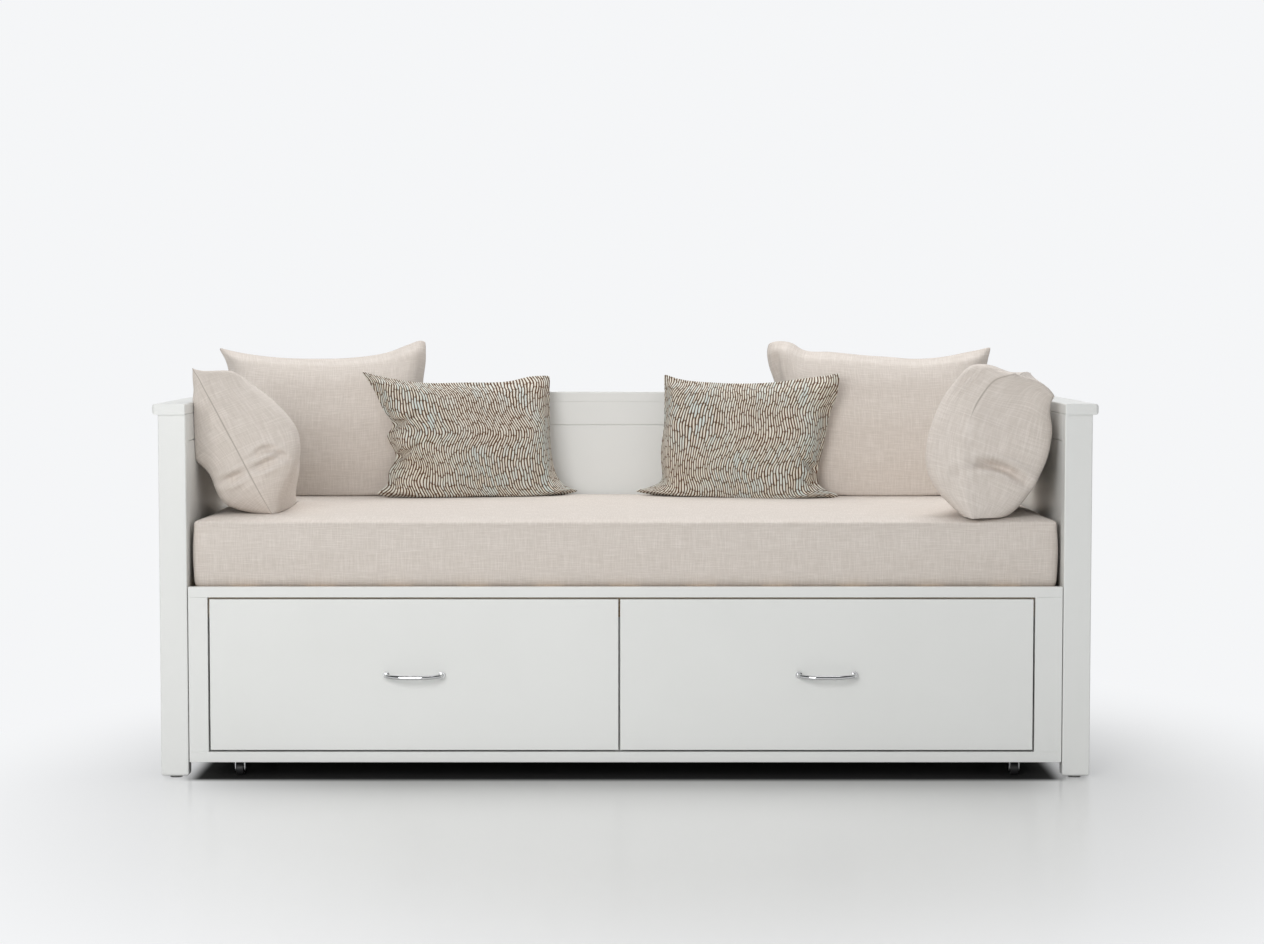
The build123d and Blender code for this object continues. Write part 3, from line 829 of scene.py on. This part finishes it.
def declare_soft(piece, material):
    """Give a cover its cloth, say what it rides on, and hide the solid that it stands for."""
    piece.data.materials.clear()
    piece.data.materials.append(material)
    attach(piece, "frame")
    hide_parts(piece.name.replace("_cover", ""))
    low, high = points_of(piece).min(0), points_of(piece).max(0)
    print(piece.name, "from", low.round(3), "to", high.round(3))


cushion_cloths = {"linen": cushion_linen, "patterned_fabric": patterned}


def cushion(
    name, slot, size, seam, front, rear, x, y, lean, turn=0, across=to_the_right,
    fullness=(), seam_fade=(), lifts=(), creases=(), behind=(),
):
    """Sew, fill and shape a cushion flat, stand it up in its place, and crease it there.

    fullness multiplies the depths of its two halves at shares of its width. seam_fade says
    beyond which width, below which height and within what reach the seam doesn't show. Each
    lift is a pull with the soft brush.
    """
    flat_size = np.array(size) * mm * cover_ease
    cover = sewn_cover(f"{name}_cover", *flat_size)
    share = points_of(cover) / (*flat_size, seam_width) + 0.5
    fill(cover, fill_pressure, fill_calming)
    points = deepen(points_of(cover), share[:, 1], 1, front)
    points = deepen(points, share[:, 1], -1, rear)
    for face, factors in zip((1, -1), fullness):
        half = face * points[:, 2] > 0
        points[half, 2] *= np.interp(share[half, 0], *zip(*factors))
    points = carry_seam(points, share, seam)
    if seam_fade:
        beyond, below, reach = seam_fade
        hidden = np.clip((below - points[:, 1]) / reach, 0, 1) * (points[:, 0] > beyond)
        set_seam_distances(cover, seam_distances(cover) + mm * hidden)
    for lift in lifts:
        points = pull(points, *lift)
    place = np.array(standing(size, x, y, across, turn, lean))
    set_points(cover, press(points @ place[:3, :3].T + place[:3, 3]))
    soften(cover)
    for line, width, depth in creases:
        crease(cover, line, width * mm, depth * mm)
    set_points(cover, press(points_of(cover)))
    for other in behind:
        lean_on(cover, other)
    declare_soft(cover, cushion_cloths[slot])
    return cover


# %% [markdown]
# ## The two large back cushions
# They stand against the back with their tops above its cap. Each seam is a loop of four
# paths, in millimetres across and up from the cushion's middle, with the points that its
# outline needs. The foot of each seam lies a little below the seat, where it is pressed flat.

# %% Back cushions
back_size = (560, 409)
back_lean = 4.0
back_front = [(0, 52), (0.1, 78), (0.3, 95), (0.55, 92), (0.8, 66), (0.94, 32), (1, 12)]
back_rear = [(0, 24), (0.15, 36), (0.5, 40), (0.85, 26), (1, 8)]
back_seam_y = back_face - 66 * mm

left_back_seam = {
    "left": [(-272, -216), (-262, -110), (-252, 0), (-250, 90), (-256, 140), (-277, 186)],
    "right": [(262, -216), (266, -160), (256, -80), (252, 30), (256, 102), (263, 161), (261, 203)],
    "bottom": [(-272, -216), (0, -226), (262, -216)],
    "top": [
        (-277, 186), (-216, 173), (-120, 161), (-23, 158), (73, 161), (170, 177), (219, 196),
        (247, 205), (261, 203),
    ],
}
left_back = cushion(
    "left_back_cushion", "linen", back_size, left_back_seam, back_front, back_rear,
    x=-786 * mm, y=back_seam_y, lean=back_lean,
)

right_back_seam = {
    "left": [
        (-272, -216), (-266, -140), (-260, -50), (-262, 40), (-276, 101), (-290, 143), (-294, 173),
        (-290, 197),
    ],
    "right": [(276, -216), (266, -110), (262, 0), (268, 90), (282, 149), (290, 188)],
    "bottom": [(-272, -216), (0, -226), (276, -216)],
    "top": [
        (-290, 197), (-272, 203), (-231, 200), (-201, 182), (-128, 176), (-39, 167), (33, 162),
        (81, 158), (171, 164), (231, 176), (290, 188),
    ],
}
tucked_corner = [([(781, 344), (777, 358), (777, 370), (781, 386)], 7, 6)]
right_back = cushion(
    "right_back_cushion", "linen", back_size, right_back_seam, back_front, back_rear,
    x=662 * mm, y=back_seam_y, lean=back_lean, creases=tucked_corner,
)

# %% [markdown]
# ## The two side cushions
# They lean against the end panels, so the camera looks along their seam and sees both
# swollen halves. Both are fuller at their near end. The right one is turned more, its near top
# corner is tucked in between the halves, and its seam fades downwards, where the cloth closes
# over it. Its near half is lifted with the soft brush, given as a middle, a reach and a move in
# metres. The weight of the cushions folds them across, low down.

# %% Side cushions
side_size = (540, 385)

rear_near_end = [(0, 3), (0.05, 2.4), (0.12, 1.9), (0.22, 1.35), (0.4, 1.0), (1, 1.0)]
front_near_end = [
    (0, 1.9), (0.05, 1.6), (0.12, 1.38), (0.25, 1.15), (0.45, 0.95), (0.7, 0.78), (1, 0.7),
]
near_end_left = [front_near_end, rear_near_end]
near_end_right = [[(1 - share, factor) for share, factor in reversed(half)] for half in near_end_left]
left_side_seam = {
    "left": [(-165, -198), (-196, -120), (-218, 0), (-238, 110), (-266, 202)],
    "right": [(262, -204), (240, -60), (240, 60), (262, 150)],
    "bottom": [(-165, -198), (40, -216), (262, -204)],
    "top": [(-266, 202), (-222, 184), (-170, 172), (-80, 168), (20, 164), (140, 156), (262, 150)],
}
left_side_front = [
    (0, 4), (0.05, 6), (0.17, 32), (0.3, 89), (0.45, 114), (0.55, 109), (0.65, 99), (0.75, 88),
    (0.83, 75), (0.9, 62), (0.96, 38), (1, 12),
]
left_side_rear = [
    (0, 3), (0.05, 8), (0.1, 15), (0.16, 32), (0.22, 52), (0.29, 61), (0.38, 53), (0.47, 50),
    (0.55, 60), (0.62, 76), (0.75, 54), (0.87, 18), (0.95, 5), (1, 6),
]
left_side_folds = [
    ([(222, 482), (233, 478), (246, 471), (262, 466), (282, 456)], 8, 19),
    ([(250, 460), (262, 449), (273, 449), (288, 460)], 6, 11),
]
cushion(
    "left_side_cushion", "linen", side_size, left_side_seam, left_side_front, left_side_rear,
    x=-827 * mm, y=-135 * mm, lean=26, across=to_the_back,
    fullness=near_end_left, creases=left_side_folds,
)

right_side_seam = {
    "left": [(-262, -204), (-240, -60), (-240, 60), (-262, 160)],
    "right": [
        (275, -202, -44), (262, -120, 10), (240, 0, 56), (228, 90, 56), (236, 140, 34), (240, 168, 0),
    ],
    "bottom": [(-262, -204, 0), (0, -216, -28), (180, -212, -44), (275, -202, -44)],
    "top": [(-262, 160), (-130, 166), (0, 166), (120, 160), (190, 162), (240, 168)],
}
right_side_front = [
    (0, 1), (0.05, 2), (0.1, 14), (0.16, 54), (0.25, 80), (0.32, 84), (0.43, 80), (0.6, 72),
    (0.76, 68), (0.86, 62), (0.93, 48), (1, 14),
]
right_side_rear = [
    (0, 1), (0.05, 3), (0.13, 33), (0.2, 58), (0.28, 78), (0.42, 98), (0.5, 106), (0.6, 112),
    (0.75, 109), (0.85, 80), (0.92, 64), (0.96, 50), (1, 14),
]
right_side_folds = [
    ([(956, 473), (975, 465), (993, 464), (1009, 470), (1025, 481)], 9, 28),
    ([(1001, 368), (985, 376), (969, 392)], 4, 6),
    ([(992, 366), (974, 378), (958, 399)], 4, 6),
    ([(983, 365), (966, 378), (951, 398)], 4, 5),
]
head_lift = ((0.14, 0.165, 0.07), (0.2, 0.09, 0.08), (0, 0.018, 0))
shoulder_lift = ((0.24, 0.13, -0.05), (0.12, 0.08, 0.08), (0, 0.022, -0.01))
cushion(
    "right_side_cushion", "linen", side_size, right_side_seam, right_side_front, right_side_rear,
    x=828 * mm, y=-185 * mm, lean=19.4, turn=-13, across=to_the_front,
    fullness=near_end_right, seam_fade=(180 * mm, 70 * mm, 90 * mm),
    lifts=(head_lift, shoulder_lift), creases=right_side_folds,
)

# %% [markdown]
# ## The two lumbar cushions
# They are smaller and softer, turned a little outwards. Their outer sides are dented by two
# creases each, and their lower corners lie on the mattress as flat ears.

# %% Lumbar cushions
lumbar_size = (505, 305)
lumbar_lean = 7.0
lumbar_turn = 13.0
lumbar_front = [(0, 34), (0.12, 52), (0.35, 66), (0.6, 62), (0.85, 40), (1, 12)]
lumbar_rear = [(0, 16), (0.3, 28), (0.7, 24), (1, 8)]

left_lumbar_seam = {
    "left": [
        (-237, -134), (-206, -106), (-205, -82), (-184, -42), (-205, 18), (-190, 41), (-212, 78),
        (-237, 132), (-267, 180),
    ],
    "right": [(291, -134), (249, -113), (237, -96), (223, -37), (221, 36), (222, 120), (223, 167)],
    "bottom": [(-237, -134), (-180, -150), (26, -154), (235, -148), (291, -134)],
    "top": [(-267, 180), (-194, 163), (-121, 152), (0, 151), (116, 154), (180, 167), (223, 167)],
}
left_lumbar_creases = [
    ([(391, 425), (402, 422), (420, 413)], 7, 10),
    ([(393, 458), (404, 455), (422, 443)], 7, 10),
]
cushion(
    "left_lumbar_cushion", "patterned_fabric", lumbar_size, left_lumbar_seam,
    lumbar_front, lumbar_rear, x=-408 * mm, y=back_face - 150 * mm, lean=lumbar_lean,
    turn=lumbar_turn, creases=left_lumbar_creases, behind=[left_back],
)

right_lumbar_seam = {
    "left": [(-291, -134), (-220, -100), (-223, -66), (-225, -37), (-219, 37), (-221, 171)],
    "right": [
        (246, -138), (190, -106), (189, -65), (200, -16), (208, 33), (219, 83), (234, 124), (238, 176),
    ],
    "bottom": [(-291, -134), (-214, -148), (-88, -152), (183, -152), (246, -138)],
    "top": [(-221, 171), (-172, 158), (-95, 151), (51, 151), (155, 164), (238, 176)],
}
right_lumbar_creases = [
    ([(821, 470), (811, 467), (797, 455)], 7, 9),
    ([(823, 486), (808, 482), (796, 474)], 6, 5),
]
cushion(
    "right_lumbar_cushion", "patterned_fabric", lumbar_size, right_lumbar_seam,
    lumbar_front, lumbar_rear, x=306 * mm, y=back_face - 162 * mm, lean=lumbar_lean,
    turn=-lumbar_turn, creases=right_lumbar_creases, behind=[right_back],
)

# %% [markdown]
# ## The mattress
# A foam core keeps its box shape, and the cover only softens its edges. So the box is made
# first, with bevelled edges, then remeshed into even cells and filled with less pressure: the
# simulation may move a point by four millimetres and no more.

# %% Mattress
mattress_cell = 14 * mm
mattress_top_edge = 26 * mm
mattress_corner = 14 * mm
mattress_swell = 4 * mm
mattress_settling_height = 40 * mm
mattress_pressure = 25
mattress_calming = 14
far_from_seam = 100 * mm


def beveled_box(name, low, high, top, corner):
    """A box with all its edges rounded, and its top edges more than the others."""
    bpy.ops.mesh.primitive_cube_add(size=1)
    box = bpy.context.object
    box.name = name
    bpy.ops.object.mode_set(mode="EDIT")
    bpy.ops.mesh.select_mode(type="EDGE")
    bpy.ops.mesh.select_all(action="SELECT")
    bpy.ops.transform.resize(value=high - low)
    bpy.ops.transform.translate(value=(low + high) / 2)
    bpy.ops.mesh.bevel(offset=corner, segments=4)
    bpy.ops.mesh.select_all(action="DESELECT")
    bpy.ops.object.mode_set(mode="OBJECT")
    on_top = points_of(box)[:, 2] > high.z - play
    for line in box.data.edges:
        line.select = bool(on_top[list(line.vertices)].all())
    bpy.ops.object.mode_set(mode="EDIT")
    bpy.ops.mesh.bevel(offset=top, segments=4)
    bpy.ops.object.mode_set(mode="OBJECT")
    return box


swell = Vector((mattress_swell,) * 3)
core_low, core_high = mattress_low + swell, mattress_high - swell
mattress = beveled_box("mattress_cover", core_low, core_high, mattress_top_edge, mattress_corner)
mattress.data.remesh_voxel_size = mattress_cell
bpy.ops.object.voxel_remesh()
core = points_of(mattress)
fill(mattress, mattress_pressure, mattress_calming)
swollen = points_of(mattress) - core
reach = np.linalg.norm(swollen, axis=1)
capped = core + swollen * np.minimum(1, mattress_swell / np.maximum(reach, 1e-6))[:, None]
set_points(mattress, capped)
soften(mattress)
settled = points_of(mattress)
low_share = np.clip(1 - (settled[:, 2] - mattress_low.z) / mattress_settling_height, 0, 1)
settled[:, 2] = np.maximum(settled[:, 2] - 2 * mattress_swell * low_share, mattress_low.z)
set_points(mattress, settled)
print("mattress cover", len(mattress.data.polygons), "faces")


# %% Lay the weave on the mattress
def lay_on_box(piece, fold):
    """Lay the weave on each face of a box. The front continues the top below a fold."""
    faces = piece.data.polygons
    normals = abs(read(faces, "normal", width=3))
    across, deep, up = np.repeat(normals, read(faces, "loop_total", int), axis=0).T
    x, y, z = points_of(piece)[face_corners(piece)].T
    is_end = (across > deep) & (across > up)
    is_front = ~is_end & (deep > up)
    u = np.where(is_end, y, x)
    v = np.where(is_end, z, np.where(is_front, z + fold, y))
    lay_cloth(piece, np.stack([u, v], 1))


lay_on_box(mattress, mattress_low.y - mattress_high.z)
set_seam_distances(mattress, np.full(len(mattress.data.vertices), far_from_seam))
declare_soft(mattress, mattress_linen)

# %% [markdown]
# ## Screws
# Each slat is held by two screws at each end that rests on something: the fixed slats on the
# beam and the rear ledger, the sliding ones on the front ledger alone. The casters have two
# screws each. One head is modelled, with a socket, and copied to all its places.

# %% Screws
head_radius = 3.6 * mm
head_height = 1.2 * mm
head_proud = 0.2 * mm
screw_spread = 18 * mm
caster_screw_spread = 15 * mm
caster_sheet = 2 * mm
socket_inset = 0.4 * head_radius
socket_chamfer = 0.12 * head_radius
socket_depth = 0.6 * head_height


def screw_head():
    """A low round head with a chamfered socket, which looks up."""
    bpy.ops.mesh.primitive_cylinder_add(vertices=16, radius=head_radius, depth=head_height)
    head = bpy.context.object
    bpy.ops.object.mode_set(mode="EDIT")
    bpy.ops.mesh.select_mode(type="FACE")
    bpy.ops.mesh.select_all(action="DESELECT")
    bpy.ops.object.mode_set(mode="OBJECT")
    for face in head.data.polygons:
        face.select = face.normal.z > 0.9
    bpy.ops.object.mode_set(mode="EDIT")
    bpy.ops.mesh.inset(thickness=socket_inset, depth=0)
    bpy.ops.mesh.inset(thickness=socket_chamfer, depth=-socket_depth)
    bpy.ops.object.mode_set(mode="OBJECT")
    return head


def screws(name, places, body, up=1):
    """Copy the head to all its places and join the copies into one piece."""
    head = screw_head()
    copies = [head]
    for _ in places[1:]:
        copies.append(head.copy())
        copies[-1].data = head.data.copy()
        bpy.context.scene.collection.objects.link(copies[-1])
    for copy, place in zip(copies, places):
        copy.location = place
        copy.rotation_euler = (0 if up > 0 else math.pi, 0, 0)
        copy.select_set(True)
    bpy.context.view_layer.objects.active = head
    bpy.ops.object.join()
    bpy.ops.object.transform_apply()
    head.name = name
    head.data.materials.append(zinc)
    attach(head, body)
    print(name, len(places), "screws")


def middle(node):
    low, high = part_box(node)
    return (low + high) / 2


slat_rows = [slat_low.x + slat_width / 2 + slat_pitch * number for number in range(slat_count)]
spread = (-screw_spread, screw_spread)
level = slat_high.z + head_proud - head_height / 2
rests = (middle("front_support_beam").y, middle("rear_slat_ledger").y)
fixed_places = [(x + step, y, level) for x in slat_rows[::2] for y in rests for step in spread]
screws("fixed_slat_screws", fixed_places, "frame")

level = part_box("pull_out_slats")[1].z + head_proud - head_height / 2
rest = middle("front_slat_ledger").y
sliding_places = [(x + step, rest, level) for x in slat_rows[1::2] for step in spread]
screws("pull_out_slat_screws", sliding_places, "pull_out")

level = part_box("caster_forks")[1].z - caster_sheet - head_proud + head_height / 2
spread = (-caster_screw_spread, caster_screw_spread)
caster_places = []
for side in ("left", "right"):
    for end in ("front", "rear"):
        wheel = middle(f"{side}_{end}_caster_wheel")
        caster_places += [(wheel.x, wheel.y + step, level) for step in spread]
screws("caster_screws", caster_places, "pull_out", up=-1)

# %% [markdown]
# ## Floor, backdrop and light
# The object stands on a pale, slightly glossy floor that runs into a white backdrop with no
# line between them. The white is a colour for the camera alone: it is painted by the world
# where only camera rays look, and the floor fades into it with distance, so that it puts no
# light on the bed. Under the front edge of the bed the floor is painted nearly black, because
# soft light alone leaves its shadow there paler than the photograph shows it. The light is a
# pale sky, a large panel from the front left and a larger one from above.

# %% Floor and backdrop
backdrop = (0.913, 0.921, 0.934)
floor_size = 60.0
fade_middle = (0.13, -0.6)
fade_squeeze = 1.3
fade_start = 0.8
fade_end = 2.4
floor_grey = (0.65, 0.65, 0.64)
floor_pale = (0.68, 0.68, 0.67)
under_side = (inner_side - 30 * mm, inner_side + 20 * mm)
under_front = (front_plane - 60 * mm, front_plane - 8 * mm)
under_back = (back_face, back_face + 60 * mm)
# Painted shadow: a strip of floor under the bed's front edge is turned nearly black, fading out
# between these two depths behind the front.
painted_shadow_end = (front_plane + 220 * mm, front_plane + 330 * mm)
painted_shadow_strength = 0.94


def floor_finish():
    floor = Finish("studio_floor")
    place = floor.place()
    x, y, _ = floor.split(place)
    across = (x - fade_middle[0]) * fade_squeeze
    far = (across ** 2 + (y - fade_middle[1]) ** 2) ** 0.5
    drift = floor.noise(place, 0.6, 2)
    under = (1 - x.math("ABSOLUTE").step(*under_side)) * y.step(*under_front)
    under = under * (1 - y.step(*under_back))
    # painted shadow: the mask of the nearly black strip under the bed's front edge
    painted_shadow = under * (1 - y.step(*painted_shadow_end)) * painted_shadow_strength
    floor.set(Base_Color=floor.blend(drift, floor_grey, floor_pale), Specular_IOR_Level=0.5)
    floor.set(Roughness=drift * 0.04 + 0.22)
    bare = Wire(floor, floor.shader.outputs[0])
    # the black emission that the painted shadow mixes into the floor
    black = floor.shine("ShaderNodeEmission", (0, 0, 0), 0.0)
    white = floor.shine("ShaderNodeEmission", backdrop)
    fade = far.step(fade_start, fade_end) * (1 - under) * floor.ray("Camera")
    mixed = floor.choose(fade, floor.choose(painted_shadow, bare, black), white)
    floor.join(floor.tree.nodes["Material Output"].inputs["Surface"], mixed)
    return floor.material


bpy.ops.mesh.primitive_plane_add(size=floor_size)
studio_floor = bpy.context.object
studio_floor.name = "studio_floor"
studio_floor.data.materials.append(floor_finish())

# %% World and lamps
sky_strength = 0.5
sky_colour = (0.97, 0.985, 1.0)
mirror_dark = (0.02, 0.02, 0.022)
mirror_rise = (0.12, 0.45)
world = bpy.data.worlds.new("studio")
world.use_nodes = True
bpy.context.scene.world = world
studio = Finish("studio", world)
direction = studio.add("ShaderNodeTexCoord", None, None, "Generated")
_, _, upward = studio.split(direction)
sky = studio.shine("ShaderNodeBackground", sky_colour, sky_strength)
plain = studio.shine("ShaderNodeBackground", backdrop)
dark_above = studio.blend(upward.step(*mirror_rise), backdrop, mirror_dark)
mirrored = studio.shine("ShaderNodeBackground", dark_above)
light_or_mirror = studio.choose(studio.ray("Glossy"), sky, mirrored)
all_rays = studio.choose(studio.ray("Camera"), light_or_mirror, plain)
studio.join(studio.tree.nodes["World Output"].inputs["Surface"], all_rays)


def panel(name, place, aim, size, watts):
    """A square soft light that looks at a place."""
    light = bpy.data.lights.new(name, "AREA")
    light.size = size
    light.energy = watts
    lamp = bpy.data.objects.new(name, light)
    lamp.location = place
    lamp.rotation_euler = (Vector(aim) - Vector(place)).to_track_quat("-Z", "Y").to_euler()
    bpy.context.scene.collection.objects.link(lamp)


bed_middle = (0, 0, 0.5)
panel("left_panel", place=(-1.7, -5.0, 2.1), aim=bed_middle, size=2.4, watts=111)
panel("top_panel", place=(0.3, 1.0, 4.3), aim=bed_middle, size=3.2, watts=104)
print("sky", sky_strength, "and two soft panels")
